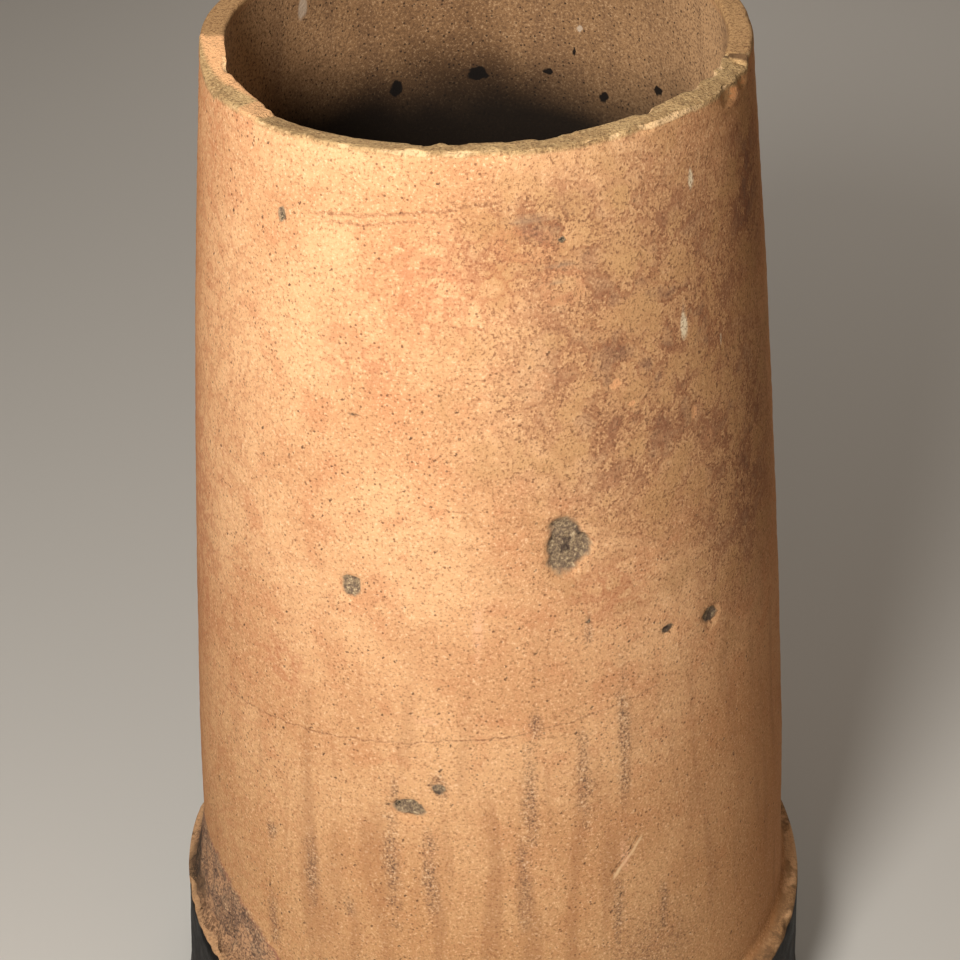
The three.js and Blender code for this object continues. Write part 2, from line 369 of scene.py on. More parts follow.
# %% How far a place lies from a mark
def reach_group():
    group = bpy.data.node_groups.new("reach_of_mark", "GeometryNodeTree")
    names = ("Turn", "Height", "Middle turn", "Middle height", "Per turn", "Per height")
    for name in names:
        group.interface.new_socket(name, in_out="INPUT", socket_type="NodeSocketFloat")
    group.interface.new_socket("Reach", in_out="OUTPUT", socket_type="NodeSocketFloat")
    given = [Field(group, socket) for socket in group.nodes.new("NodeGroupInput").outputs]
    turn, height, middle_turn, middle_height, per_turn, per_height = given[:6]
    along = calc("WRAP", turn - middle_turn, 180, -180) * per_turn
    rise = (height - middle_height) * per_height
    plug(group.nodes.new("NodeGroupOutput").inputs[0], calc("SQRT", along * along + rise * rise))
    return group


REACH = reach_group()


def reach(turn, z, mark):
    angle, up, width, height = mark[:4]
    per_turn = math.radians(2) * body_radius(max(up * MM, 0)) / (width * MM)
    inputs = {"Turn": turn, "Middle turn": front_turn(angle), "Per turn": per_turn,
              "Height": z, "Middle height": FLANGE_H + up * MM, "Per height": 2 / (height * MM)}
    return result(node(turn.tree, "GeometryNodeGroup", inputs, node_tree=REACH))


def nearest(turn, z, marks):
    total = None
    for mark in marks:
        here = reach(turn, z, mark)
        total = here if total is None else least(total, here)
    return least(total, 3.0)


def within(far, wobble, soft=0.2, ragged=1.1):
    """1 inside a mark and 0 past its ragged edge."""
    return fade(far + (wobble - 0.5) * ragged, 1 + soft / 2, 1 - soft)


def mortar_share(turn, z, wobble):
    """How thick the mortar is, from 0 to 1, at a place on the upright pot."""
    along = (turn - front_turn(MORTAR_MIDDLE)) * (1 / MORTAR_HALF_SPAN)
    up = (z - FLANGE_H) * (1 / MORTAR_H)
    height = most(1 - along * along, 0.0) + (wobble - 0.5) * 0.3
    return most(height - up, 0.0) * fade(up, -0.06, 0.0) * fade(height, 0.0, 0.12)


print("the marks share one node group,", REACH.name)

# %% [markdown]
# The clay wall is one body, so it is one mesh. It could be spun in edit mode, but then each change of
# section would mean spinning it again. Here a Geometry Nodes tree does what the wheel did: it lays out a
# grid with one row for each point of the section and one column for each step round the pot, and bends the
# grid into the wall. The columns stand closer together at the front, where the rim is broken.

# %% Throw the wall on the wheel
COLUMNS = 312
FRONT_CROWDING = 0.42


def geometry_node(kind, geometry, inputs=(), **settings):
    return result(node(geometry.tree, kind, {"Geometry": geometry, **dict(inputs)}, **settings))


def store(geometry, name, value, kind="FLOAT"):
    inputs = {"Name": name, "Value": value}
    return geometry_node("GeometryNodeStoreNamedAttribute", geometry, inputs=inputs, data_type=kind)


def stored(tree, name, kind="FLOAT"):
    return result(node(tree, "GeometryNodeInputNamedAttribute", {"Name": name}, data_type=kind))


def position(tree):
    return result(node(tree, "GeometryNodeInputPosition"))


def from_section(section_geometry, value, row, kind="FLOAT"):
    inputs = {"Value": value, "Index": row}
    return geometry_node("GeometryNodeSampleIndex", section_geometry, inputs=inputs, data_type=kind)


def throw_wall(section_geometry, columns, rows, crowding):
    tree = section_geometry.tree
    grid = result(node(tree, "GeometryNodeMeshGrid", {"Vertices X": columns + 1, "Vertices Y": rows}))
    index = result(node(tree, "GeometryNodeInputIndex"))
    column = calc("FLOOR", (index + 0.5) / rows)
    row = index - column * rows
    turn = column / columns - 0.5
    bunched = calc("SINE", turn * math.tau) * crowding / math.tau
    angle = (turn - bunched) * math.tau - math.pi / 2
    radius, _, height = split(from_section(section_geometry, position(tree), row, "FLOAT_VECTOR"))
    grid = store(grid, "across", from_section(section_geometry, stored(tree, "across"), row))
    grid = store(grid, "top", from_section(section_geometry, stored(tree, "top"), row))
    bent = join(radius * calc("COSINE", angle), radius * calc("SINE", angle), height)
    wall = geometry_node("GeometryNodeSetPosition", grid, inputs={"Position": bent})
    return geometry_node("GeometryNodeMergeByDistance", wall, inputs={"Distance": 0.01 * MM})


print(f"{COLUMNS} columns by {len(section) - 1} rows make {2 * COLUMNS * (len(section) - 1)} triangles")

# %% [markdown]
# Next the rim breaks. The tree lowers the top of the wall facet by facet, and fades the move out over the
# 60 mm below, so that no row of points is squashed. The broken face gets a grain like coarse biscuit.
# Flakes have come off along its edges: every point outside a slanting cut of wandering width is pushed back
# onto the cut. The ledge loses its corner in the same way.

# %% Break the rim and flake its edges
def radius_of(place):
    x, y, _ = split(place)
    return calc("SQRT", x * x + y * y)


def reshape(wall, place, radius, height):
    x, y, _ = split(place)
    grown = radius / radius_of(place)
    moved = join(x * grown, y * grown, height)
    return geometry_node("GeometryNodeSetPosition", wall, inputs={"Position": moved})


def break_drop(turn, across):
    """How far the broken rim lies below the sound one."""
    total = None
    for start, end, inner, outer in BREAK_FACETS:
        along = (turn - front_turn(start)) * (1 / (end - start))
        inner_drop = along * ((inner[1] - inner[0]) * MM) + inner[0] * MM
        outer_drop = along * ((outer[1] - outer[0]) * MM) + outer[0] * MM
        drop = inner_drop + (outer_drop - inner_drop) * across
        here = calc("GREATER_THAN", along, 0.0) * calc("LESS_THAN", along, 1.0)
        total = drop * here if total is None else total + drop * here
    return most(total, 0.0)


def cut_corner(inward, below, width):
    """How far a point near a corner lies outside a 45 degree cut of that width."""
    return most(width - (inward + below) * 0.707, 0.0)


def break_rim(wall, seed, flakes):
    tree = wall.tree
    place = position(tree)
    around = move("ADD", place, seed)
    across, top = stored(tree, "across"), stored(tree, "top")
    radius, z, turn = radius_of(place), split(place)[2], turn_from_front(place)

    jagged = turn + (noise(around, 110, 3) - 0.5) * 3.5
    drop = break_drop(jagged, across)
    broken = calc("GREATER_THAN", drop, 0.05 * MM)
    past_crack = calc("ABSOLUTE", turn - front_turn(BREAK_END))
    sag = fade(past_crack, SAG_SPAN, 0, 0, SAG_DEPTH) * (1 - broken)
    near_top = fade(z, TOTAL_H - 60 * MM, TOTAL_H)
    lowered = near_top * (drop + sag)
    biscuit = (noise(around, 140, 3, 0.6) - 0.5) * (1.1 * MM)
    squared = (TOTAL_H - z) * 0.8
    new_z = z - lowered + top * broken * (squared + biscuit)
    new_radius = radius + lowered * ((BODY_FOOT_R - RIM_R) / BODY_H)

    below = TOTAL_H - drop - sag - new_z
    flaky = fade(calc("ABSOLUTE", turn - front_turn(270)), 26, 12, 0.25, 1)
    flaky = most(flaky, fade(calc("ABSOLUTE", turn - front_turn(312)), 24, 14, 0.25, 0.8))
    big_flakes = flaky * fade(noise(around, 62, 2), 0.47, 0.65) * (1.6 * MM)
    small_flakes = fade(noise(around, 170, 1), 0.4, 0.7) * (0.7 * MM) + 0.2 * MM
    sound_wear = fade(noise(around, 40, 2), 0.55, 0.7) * (1.8 * MM) + 0.8 * MM
    outer_width = flakes * (broken * (big_flakes + small_flakes) + (1 - broken) * sound_wear)
    inner_width = flakes * (broken * (fade(noise(around, 75, 2), 0.5, 0.7) * (2.2 * MM)) + 0.4 * MM)
    high = calc("GREATER_THAN", z, TOTAL_H - 25 * MM)
    outside = calc("GREATER_THAN", across, 0.5)
    outer_cut = cut_corner((1 - across) * RIM_WALL, below, outer_width) * high * outside
    inner_cut = cut_corner(across * RIM_WALL, below, inner_width) * high * (1 - outside)

    on_flange = calc("LESS_THAN", z, FLANGE_H + 0.1 * MM) * outside
    ledge_width = flakes * (fade(noise(around, 30, 3), 0.48, 0.75) * (1.8 * MM) + 1 * MM)
    ledge_cut = cut_corner(LEDGE_R - radius, FLANGE_H - z, ledge_width) * on_flange

    cut = outer_cut + inner_cut + ledge_cut
    new_radius = new_radius - (outer_cut + ledge_cut - inner_cut) * 0.707
    wall = store(wall, "flaked", cut * (1 / MM))
    wall = store(wall, "broken", broken)
    wall = reshape(wall, place, new_radius, new_z - cut * 0.707)
    return store(wall, "upright", position(tree), "FLOAT_VECTOR")


print(f"the rim breaks over {BREAK_END - BREAK_FACETS[0][0]} degrees")

# %% [markdown]
# The rest of the wear keeps to the side of the wall: soft ridges from the potter's hands, chips, spalls
# where frost burst the skin, and the mortar that was left when the stack was taken down. The place of each
# point is stored before these moves, because the finish reads it to find the same patches. Last, the tube
# leans.

# %% Chip the wall, leave the mortar and lean the tube
RING_GAP = 12 * MM
BULGE = 1.7 * MM


def chip_wall(wall, seed):
    tree = wall.tree
    place = stored(tree, "upright", "FLOAT_VECTOR")
    across = stored(tree, "across")
    radius, z, turn = radius_of(place), split(place)[2], turn_from_front(place)
    outside = calc("GREATER_THAN", across, 0.4)
    wobble = noise(place, 90, 3)
    around = move("ADD", place, seed)

    rings = calc("SINE", z * (math.tau / RING_GAP) + noise(stretch(around, 1, 1, 3), 13, 2) * 9)
    swell = (noise(around, 4.5, 1) - 1.0) * (1.6 * MM) + (noise(around, 22, 2) - 1.0) * (0.9 * MM)
    belly = fade(z, FLANGE_H + 20 * MM, FLANGE_H + 140 * MM) * fade(z, TOTAL_H, TOTAL_H - 200 * MM, 0.6, 1)
    swell = swell + belly * BULGE
    clear_of_foot = fade(z, 1 * MM, 9 * MM)
    new_radius = radius + (swell + (rings - 1.0) * (0.1 * MM)) * outside * clear_of_foot
    new_radius = new_radius + rings * (0.25 * MM) * (1 - outside) * fade(z, 120 * MM, 150 * MM)

    grit = noise(place, 330, 2, 0.6) * 1.3 + 0.35
    depth = None
    for mark in RIM_CHIPS + LEDGE_CHIPS + SPALLS + FRESH_CHIPS:
        here = within(reach(turn, z, mark), wobble) * (mark[4] * MM)
        depth = here if depth is None else most(depth, here)
    new_radius = new_radius - depth * grit * outside

    mortar = mortar_share(turn, z, wobble)
    lumps = (noise(around, 120, 3, 0.6) - 0.5) * 2.2 + 1.0
    room = most(LEDGE_R - 0.8 * MM - new_radius, 0.0)
    crust = least(mortar * lumps * (MORTAR_THICK * 1.5), room)
    new_radius = new_radius + crust * outside
    wall = store(wall, "mortar", fade(mortar * outside, 0.0, 0.06))
    for name, marks in MARKS.items():
        wall = store(wall, name, nearest(turn, z, marks))
    wall = store(wall, "clouds", noise(place, 13, 2))
    wall = store(wall, "runs", noise(stretch(place, 1, 1, 0.09), 75, 2))
    return reshape(wall, place, new_radius, z)


def lean_tube(wall, lean):
    x, y, z = split(position(wall.tree))
    share = least(most((z - FLANGE_H) / BODY_H, 0.0), 1.0)
    moved = join(x - share * lean, y, z + x * share * lean / BODY_H)
    return geometry_node("GeometryNodeSetPosition", wall, inputs={"Position": moved})


print("chips, mortar and lean ready")

# %% [markdown]
# The steps now go into one tree. Its inputs are the sizes that a potter would want to change, and a seed
# that shifts the noises of the break, its flakes, the ridges and the mortar lumps, so another pot from the
# same clay breaks differently. The tree ends in Realize Instances and Set Material, and its result becomes
# a plain mesh, because only plain meshes travel well between programs.

# %% Build the tree and make the pot
POT_SEED = (3.1, 7.4, 1.9)
SHARP_EDGE = 50


def pot_tree(material):
    tree = bpy.data.node_groups.new("throw_and_weather", "GeometryNodeTree")
    face = tree.interface
    face.new_socket("Section", in_out="INPUT", socket_type="NodeSocketGeometry")
    sizes = [("Columns", "NodeSocketInt"), ("Rows", "NodeSocketInt"), ("Front crowding", "NodeSocketFloat"),
             ("Flakes", "NodeSocketFloat"), ("Lean", "NodeSocketFloat"), ("Seed", "NodeSocketVector")]
    for name, kind in sizes:
        face.new_socket(name, in_out="INPUT", socket_type=kind)
    face.new_socket("Pot", in_out="OUTPUT", socket_type="NodeSocketGeometry")
    given = [Field(tree, socket) for socket in tree.nodes.new("NodeGroupInput").outputs]
    outline, columns, rows, crowding, flakes, lean, seed = given[:7]
    wall = throw_wall(outline, columns, rows, crowding)
    wall = break_rim(wall, seed, flakes)
    wall = chip_wall(wall, seed)
    wall = lean_tube(wall, lean)
    wall = geometry_node("GeometryNodeRealizeInstances", wall)
    wall = geometry_node("GeometryNodeSetMaterial", wall, inputs={"Material": material})
    plug(tree.nodes.new("NodeGroupOutput").inputs[0], wall)
    return tree


def outline_mesh():
    mesh = bpy.data.meshes.new("section")
    edges = [(i, i + 1) for i in range(len(section) - 1)]
    mesh.from_pydata([(r, 0, z) for r, z, _, _ in section], edges, [])
    for name, column in (("across", 2), ("top", 3)):
        values = mesh.attributes.new(name, "FLOAT", "POINT").data
        for point, value in zip(section, values):
            value.value = point[column]
    return mesh


def plain_mesh(piece, name):
    """The mesh that the piece's modifiers make, with the modifiers gone."""
    seen = piece.evaluated_get(bpy.context.evaluated_depsgraph_get())
    mesh = bpy.data.meshes.new_from_object(seen)
    mesh.name = name
    piece.modifiers.clear()
    piece.data = mesh
    return piece


def make_pot(material):
    piece = bpy.data.objects.new("weathered_chimney_pot", outline_mesh())
    bpy.context.scene.collection.objects.link(piece)
    wheel = piece.modifiers.new("wheel", "NODES")
    wheel.node_group = pot_tree(material)
    values = {"Columns": COLUMNS, "Rows": len(section), "Front crowding": FRONT_CROWDING, "Flakes": 1.0,
              "Lean": LEAN, "Seed": POT_SEED}
    for item in wheel.node_group.interface.items_tree:
        if item.name in values:
            wheel[item.identifier] = values[item.name]
    plain_mesh(piece, "weathered_chimney_pot")
    for face in piece.data.polygons:
        face.use_smooth = True
    piece.data.set_sharp_from_angle(angle=math.radians(SHARP_EDGE))
    return piece


print("tree ready")

# %% [markdown]
# Now the finish. Old terracotta is never one colour: it fired unevenly, soot and lichen stained it, rain
# washed it in streaks and each break shows the clay inside. It could be painted on an image, but a painting
# has one fixed fineness. Here every layer is a mask and a colour in one material, read from the place on
# the upright pot that the tree stored. The first helpers turn everyday colour values into light and lay one
# colour over another.

# %% Helpers for the finish
def colour(red, green, blue):
    """A colour as a paint chart gives it, from 0 to 255, turned into amounts of light."""
    shares = (red / 255, green / 255, blue / 255)
    return tuple(((v + 0.055) / 1.055) ** 2.4 if v > 0.04 else v / 12.92 for v in shares)


def lay(under, over, amount):
    """One colour over another, where amount is 1."""
    inputs = {"Factor": amount, "A": under, "B": over}
    return result(node(tree_of(amount, under, over), "ShaderNodeMix", inputs, data_type="RGBA"))


def specks(place, per_metre, size, share):
    """Round specks of a size up to 1, in that share of the cells."""
    made = node(place.tree, "ShaderNodeTexVoronoi", {"Vector": place, "Scale": per_metre}, feature="F1")
    chosen = calc("GREATER_THAN", split(result(made, "Color"))[0], 1 - share)
    return fade(result(made, "Distance"), size, size * 0.55) * chosen


def painted(tree, name, part="Fac"):
    made = node(tree, "ShaderNodeAttribute", attribute_name=name)
    return result(made, part)


print("finish helpers ready")

# %% [markdown]
# The layers share a few noises, because each noise is worked out again for every ray of light, and three
# times more where it is also a bump. The two broadest noises change so slowly that the tree has stored
# them. The clay is a warm peach buff with darker worm-like veins, dotted with dark grog and iron specks. A
# vein is where a noise crosses its middle value.

# %% The clay skin
def shared_noises(place):
    return {
        "clouds": painted(place.tree, "clouds"),
        "runs": painted(place.tree, "runs"),
        "blotch": noise(place, 42, 3, 0.6),
        "wobble": noise(place, 90, 3),
        "fine": noise(place, 640, 2, 0.75),
        "dots": specks(place, 360, 0.3, 0.45),
    }


def veins_of(value, width):
    return fade(calc("ABSOLUTE", value - 0.5), width, width * 0.2)


def clay_skin(place, grain, turn):
    fine = grain["fine"]
    base = lay(colour(212, 158, 113), colour(229, 178, 131), fade(grain["clouds"], 0.35, 0.62))
    base = lay(base, colour(206, 142, 100), fade(grain["blotch"], 0.5, 0.7, 0, 0.55))
    # Darker, greyer towards the bottom: partly grime, partly painted shade for the light falling off.
    base = lay(base, colour(196, 147, 98), fade(split(place)[2], 0.44, 0.14, 0, 0.65))
    base = lay(base, colour(140, 92, 60), fade(fine, 0.53, 0.68, 0, 0.62))
    base = lay(base, colour(252, 212, 170), fade(fine, 0.44, 0.3, 0, 0.62))
    not_behind = fade(turn, -178, -120)
    left = fade(turn, front_turn(245), front_turn(195), 0, 0.3) * not_behind + 0.12
    base = lay(base, colour(186, 116, 78), veins_of(grain["wobble"], 0.06) * left)
    clusters = fade(grain["blotch"] * 0.6 + grain["wobble"] * 0.4, 0.42, 0.58, 0.15, 0.75)
    base = lay(base, colour(98, 66, 45), grain["dots"] * clusters)
    # Painted shade: a darker orange on the sides of the tube, away from the front, most on the far left.
    far_left_shade = fade(turn, -62, -90, 0, 0.62) * not_behind
    painted_side_shading = most(fade(calc("ABSOLUTE", turn + 12), 38, 88, 0, 0.42), far_left_shade)
    base = lay(base, colour(182, 112, 56), painted_side_shading)
    shaken = move("ADD", place, stretch(join(fine, grain["wobble"], fine), 0.005, 0.005, 0.005))
    pits = specks(shaken, 140, 0.14, 0.5)
    return lay(base, colour(66, 46, 36), pits * 0.85)


# %% [markdown]
# Weather lies over the skin. The stain is brown to purple, densest where lichen grew, and its veins curl
# round pale spots. Rain runs are gritty: they show only where the fine noise is high. A hairline crack and
# two turning lines run round the tube at a height that changes steadily with the angle.

# %% Weather on the skin
def hairline(turn, z, start, end, up, slope, bend, wander, width=0.9, soft=4):
    """A thin line between two angles, at a height that changes steadily with the angle."""
    along = turn - front_turn(start)
    line = along * slope + along * along * bend + up
    off = calc("ABSOLUTE", (z - FLANGE_H) * (1 / MM) - line + (wander - 0.5) * 6)
    span = end - start
    return fade(off, width, width * 0.2) * fade(along, 0, soft) * fade(along, span, span - soft)


def weather(skin, grain, marks, turn, z):
    fine, wobble, blotch = grain["fine"], grain["wobble"], grain["blotch"]
    ragged = wobble * 0.4 + blotch * 0.6
    stain = within(marks["stain"], ragged, 0.7, 2.6)
    skin = lay(skin, colour(178, 130, 88), stain * 0.5)
    skin = lay(skin, colour(190, 144, 94), stain * fade(blotch, 0.5, 0.38, 0, 0.35))
    skin = lay(skin, colour(144, 98, 70), stain * fade(blotch * 0.5 + fine * 0.5, 0.45, 0.6, 0, 0.6))
    skin = lay(skin, colour(116, 82, 68), stain * fade(blotch * 0.6 + wobble * 0.4, 0.5, 0.63, 0, 0.62))
    curls = veins_of(wobble * 0.8 + fine * 0.2, 0.06) * fade(blotch, 0.36, 0.54, 0.1, 0.5)
    skin = lay(skin, colour(138, 82, 56), stain * curls)
    lichen = within(marks["lichen"], wobble, 0.5, 1.2)
    skin = lay(skin, colour(202, 156, 108), lichen * fade(fine, 0.6, 0.4, 0.2, 0.65))
    skin = lay(skin, colour(100, 70, 52), stain * fade(fine, 0.54, 0.66, 0, 0.5))
    skin = lay(skin, colour(214, 170, 120), stain * fade(fine, 0.42, 0.3, 0, 0.4))
    skin = lay(skin, colour(150, 128, 104), within(marks["ash"], wobble, 0.8, 1.4) * 0.55)
    rings = fade(calc("ABSOLUTE", marks["rust"] + (ragged - 0.5) * 2 - 0.75), 0.4, 0.15)
    skin = lay(skin, colour(190, 122, 86), rings * fade(fine, 0.6, 0.45, 0.05, 0.3))
    reds = within(marks["red"], ragged, 0.9, 2.2)
    worms = veins_of(wobble, 0.1) * 0.3
    skin = lay(skin, colour(184, 112, 78), reds * (worms + fade(fine, 0.45, 0.6, 0.05, 0.2)))
    runs = fade(grain["runs"], 0.52, 0.68) * fade(z, 0.5, 0.25)
    skin = lay(skin, colour(150, 98, 64), runs * 0.3)
    grime = within(marks["grime"], ragged, 1.4, 1.6)
    streaks = most(within(marks["streak"], wobble, 1.1, 1.9), grime * 0.6)
    skin = lay(skin, colour(156, 118, 90), streaks * 0.42)
    skin = lay(skin, colour(92, 70, 60), streaks * fade(fine, 0.48, 0.6) * 0.75)
    skin = lay(skin, colour(236, 206, 170), streaks * fade(fine, 0.42, 0.34) * 0.75)
    turning = most(hairline(turn, z, 236, 276, 527, 0.36, 0, blotch, 1.4),
                   hairline(turn, z, 238, 262, 523.5, 0.36, 0, blotch, 1.2))
    lines = most(hairline(turn, z, 209, 305, 210, 0.62, -0.0013, wobble), turning)
    skin = lay(skin, colour(140, 94, 66), lines * fade(fine, 0.35, 0.6, 0.12, 0.6))
    scratch = hairline(turn, z, 291.6, 298.2, 134, 3.95, 0, wobble, 2.6, 0.8)
    shadow = hairline(turn, z, 291.2, 297.4, 137.5, 3.95, 0, wobble, 1.6, 0.8)
    skin = lay(skin, colour(96, 66, 46), shadow * fade(fine, 0.4, 0.55, 0.2, 0.8))
    skin = lay(skin, colour(240, 202, 156), scratch * 0.8)
    pale = within(marks["pale"], wobble, 0.5, 1.6)
    skin = lay(skin, colour(236, 218, 186), pale * fade(fine, 0.62, 0.48, 0.3, 0.9))
    pink = within(marks["pink"], wobble, 0.7, 1.6)
    return lay(skin, colour(236, 182, 146), pink * fade(fine, 0.6, 0.4, 0.1, 0.6))


# %% [markdown]
# A break shows the inside of the wall: a grey-buff biscuit, greyer and grittier than the skin, with cream
# edges where the last flakes came off, orange where a chip is fresh, and dark patches in the grit of the
# spalls. A darker red-brown band round each spall is painted shade along its lip, and the lit face of a
# small step in the rim break is a painted highlight.

# %% Breaks and spalls
def breaks(skin, place, grain, marks, turn, wear):
    fine, wobble, blotch = grain["fine"], grain["wobble"], grain["blotch"]
    gravel = lay(colour(112, 93, 78), colour(158, 135, 106), fade(fine, 0.38, 0.6))
    gravel = lay(gravel, colour(218, 194, 158), fade(fine, 0.6, 0.7, 0, 0.7))
    gravel = lay(gravel, colour(56, 44, 42), fade(wobble, 0.5, 0.6, 0, 0.75))
    spall = within(marks["spall"], wobble)
    # Painted shade: a darker red-brown band round the lip of each spall.
    ring = within(marks["spall"], wobble, 0.55)
    skin = lay(skin, colour(128, 72, 48), most(ring - spall, 0.0) * fade(fine, 0.4, 0.6, 0.4, 0.9))
    skin = lay(skin, gravel, spall)
    skin = lay(skin, colour(226, 166, 118), within(marks["fresh"], wobble) * fade(fine, 0.6, 0.45, 0.6, 0.9))
    torn = within(marks["torn"], wobble, 0.4, 1.6)
    scar = lay(colour(206, 140, 90), colour(218, 182, 128), fade(wobble * 0.5 + fine * 0.5, 0.44, 0.56))
    skin = lay(skin, scar, torn * fade(fine + wobble, 1.15, 0.95, 0.2, 0.9))
    clear_of_edge = fade(radius_of(place), LEDGE_R - 3 * MM, LEDGE_R - 6 * MM)
    black = within(marks["black"], wobble, 0.5, 1.5) * clear_of_edge
    skin = lay(skin, colour(44, 38, 32), black * fade(fine, 0.6, 0.48, 0.25, 0.9))

    face = lay(colour(174, 140, 97), colour(194, 160, 113), fade(blotch, 0.4, 0.6))
    dark_grain = fade(fine, 0.5, 0.66, 0, 0.7)
    face = lay(face, colour(112, 86, 60), dark_grain)
    face = lay(face, colour(232, 202, 152), fade(fine, 0.44, 0.3, 0, 0.6))
    worn = lay(colour(164, 129, 88), colour(188, 150, 104), fade(fine, 0.6, 0.4))
    worn = lay(worn, colour(108, 80, 56), dark_grain)
    skin = lay(skin, worn, wear["top"] * 0.85)
    # Pale orange clay on the first facet's inner slope; on the step at 219 degrees it is a painted
    # highlight.
    slope = fade(wear["across"] + (turn - front_turn(193)) * 0.03, 0.85, 0.6)
    step = fade(calc("ABSOLUTE", turn - front_turn(219)), 4, 2.5) * 0.8
    face = lay(face, colour(232, 176, 126), most(slope, step) * fade(fine, 0.66, 0.5, 0.5, 0.95))
    skin = lay(skin, face, wear["top"] * wear["broken"])
    cream = fade(wear["flaked"], 0.3, 0.9) * fade(wobble, 0.36, 0.5, 0.4, 0.9)
    cream = cream * fade(fine, 0.66, 0.5, 0.4, 1)
    skin = lay(skin, colour(228, 190, 144), cream)
    past_end = turn - front_turn(BREAK_END) + (wobble - 0.5) * 1.5
    crack = fade(calc("ABSOLUTE", past_end), 0.6, 0.2) * wear["top"]
    return lay(skin, colour(84, 60, 42), crack * 0.85), spall


# %% [markdown]
# Inside, the flue is brown with old soot, finely speckled, with faint runs where water came down. Its side
# walls are painted paler as painted light, and deeper down it is nearly black, partly soot and partly
# painted shade. Black spots of tar stick to the wall, and two bare spots show where the soot has flaked off.

# %% Soot inside the flue
def flue_wall(place, grain, marks, z):
    fine, wobble = grain["fine"], grain["wobble"]
    wall = lay(colour(126, 92, 62), colour(152, 115, 80), fade(grain["clouds"], 0.36, 0.6))
    x, y, _ = split(place)
    # Painted light: the side walls of the flue are paler tan, most towards the front.
    painted_side_shading = fade(calc("ABSOLUTE", x), 60 * MM, 125 * MM) * fade(y, 90 * MM, 20 * MM, 0.5, 1)
    wall = lay(wall, colour(218, 172, 126), painted_side_shading * 0.8)
    wall = lay(wall, colour(120, 88, 64), fade(grain["runs"], 0.5, 0.66, 0, 0.3))
    wall = lay(wall, colour(96, 70, 52), fade(fine, 0.5, 0.62, 0, 0.6))
    wall = lay(wall, colour(214, 176, 136), fade(fine, 0.44, 0.32, 0, 0.5))
    wall = lay(wall, colour(42, 31, 26), grain["dots"] * 0.8)
    # Nearly black deeper down: partly soot, partly painted shade.
    wall = lay(wall, colour(20, 14, 9), fade(z + (grain["clouds"] - 0.5) * 0.05, 0.626, 0.556, 0, 0.98))
    wall = lay(wall, colour(16, 12, 10), within(marks["soot"], wobble, 0.15, 1.5) * 0.97)
    return lay(wall, colour(200, 178, 156), within(marks["bare"], wobble, 0.3, 0.5) * 0.85)


# %% [markdown]
# The foot was set in mortar and sealed with tar. The mortar is a grey-purple crust with pale sand in it.
# The tar is black and half glossy, scuffed blue-grey where it was handled, and worn back to buff clay along
# the ledge, whose flaked edge is paler on the left as a painted highlight.

# %% Mortar and tar
def foot(skin, grain, turn, z, wear):
    fine, wobble, blotch = grain["fine"], grain["wobble"], grain["blotch"]
    mortar = wear["mortar"]
    crust = lay(colour(128, 99, 84), colour(168, 134, 108), fade(wobble, 0.4, 0.6))
    crust = lay(crust, colour(68, 57, 50), fade(fine, 0.48, 0.6, 0, 0.75))
    crust = lay(crust, colour(226, 198, 166), fade(fine, 0.4, 0.3, 0, 0.8))
    crust = lay(crust, colour(88, 66, 62), fade(blotch, 0.5, 0.64, 0, 0.5))
    low = fade(z, FLANGE_H + 30 * MM, FLANGE_H + 6 * MM)
    bare = fade(blotch + low * 0.1, 0.52, 0.58) * fade(fine, 0.6, 0.45, 0.2, 0.85)
    crust = lay(crust, colour(208, 160, 120), bare)
    skin = lay(skin, crust, mortar * fade(fine + blotch, 0.8, 1.05, 0.55, 0.95))
    edge = fade(mortar, 0.02, 0.4) * fade(mortar, 0.98, 0.5)
    skin = lay(skin, colour(160, 104, 88), edge * fade(fine + blotch, 0.95, 1.1, 0, 0.7))
    left = fade(calc("ABSOLUTE", turn - front_turn(190)), 50, 16)
    # Darker in blotches just above the ledge, most on the left.
    darker_above_ledge = fade(z, FLANGE_H + 24 * MM, FLANGE_H + 2 * MM) * fade(blotch, 0.36, 0.56) * (left * 0.65 + 0.35)
    skin = lay(skin, colour(112, 82, 58), darker_above_ledge * fade(fine, 0.36, 0.56, 0.2, 0.8))

    ledge = fade(z, FLANGE_H + 5 * MM, FLANGE_H - 1 * MM)
    top = lay(colour(138, 104, 72), colour(172, 132, 92), fade(fine, 0.4, 0.62))
    top = lay(top, colour(84, 64, 48), fade(wobble, 0.52, 0.64, 0, 0.6))
    peach = fade(blotch + left * 0.2, 0.52, 0.6) * fade(fine, 0.64, 0.5, 0.3, 0.95)
    top = lay(top, colour(214, 168, 124), peach)
    skin = lay(skin, top, ledge * (1 - mortar * (0.7 - left * 0.6)))
    # Pale buff on the ledge's flaked edge: worn clay all round, and on the left a painted highlight.
    worn_edge_and_highlight = ledge * fade(wear["flaked"], 0.8, 1.8) * fade(wobble * 0.6 + fine * 0.4, 0.56, 0.44)
    skin = lay(skin, colour(206, 162, 118), worn_edge_and_highlight * (left * 0.75 + 0.12))

    tar_line = z + (wobble - 0.5) * (8 * MM)
    tarred = fade(tar_line, FLANGE_H - 3 * MM, FLANGE_H - 5 * MM)
    tar = lay(colour(11, 10, 10), colour(24, 21, 20), fade(wobble, 0.4, 0.65))
    tar = lay(tar, colour(58, 54, 52), fade(grain["runs"], 0.6, 0.7, 0, 0.25) * fade(fine, 0.4, 0.55))
    tar = lay(tar, colour(96, 66, 46), fade(fine * 0.4 + blotch * 0.6, 0.56, 0.64, 0, 0.6))
    return lay(skin, tar, tarred), tarred


# %% [markdown]
# The layers go together from the clay outwards. Roughness follows them: the clay and the breaks are dull,
# and the tar catches the light. The relief that is too fine for the mesh is a bump, from the same noises as
# the colours, so that a dark mottle is also a hollow.

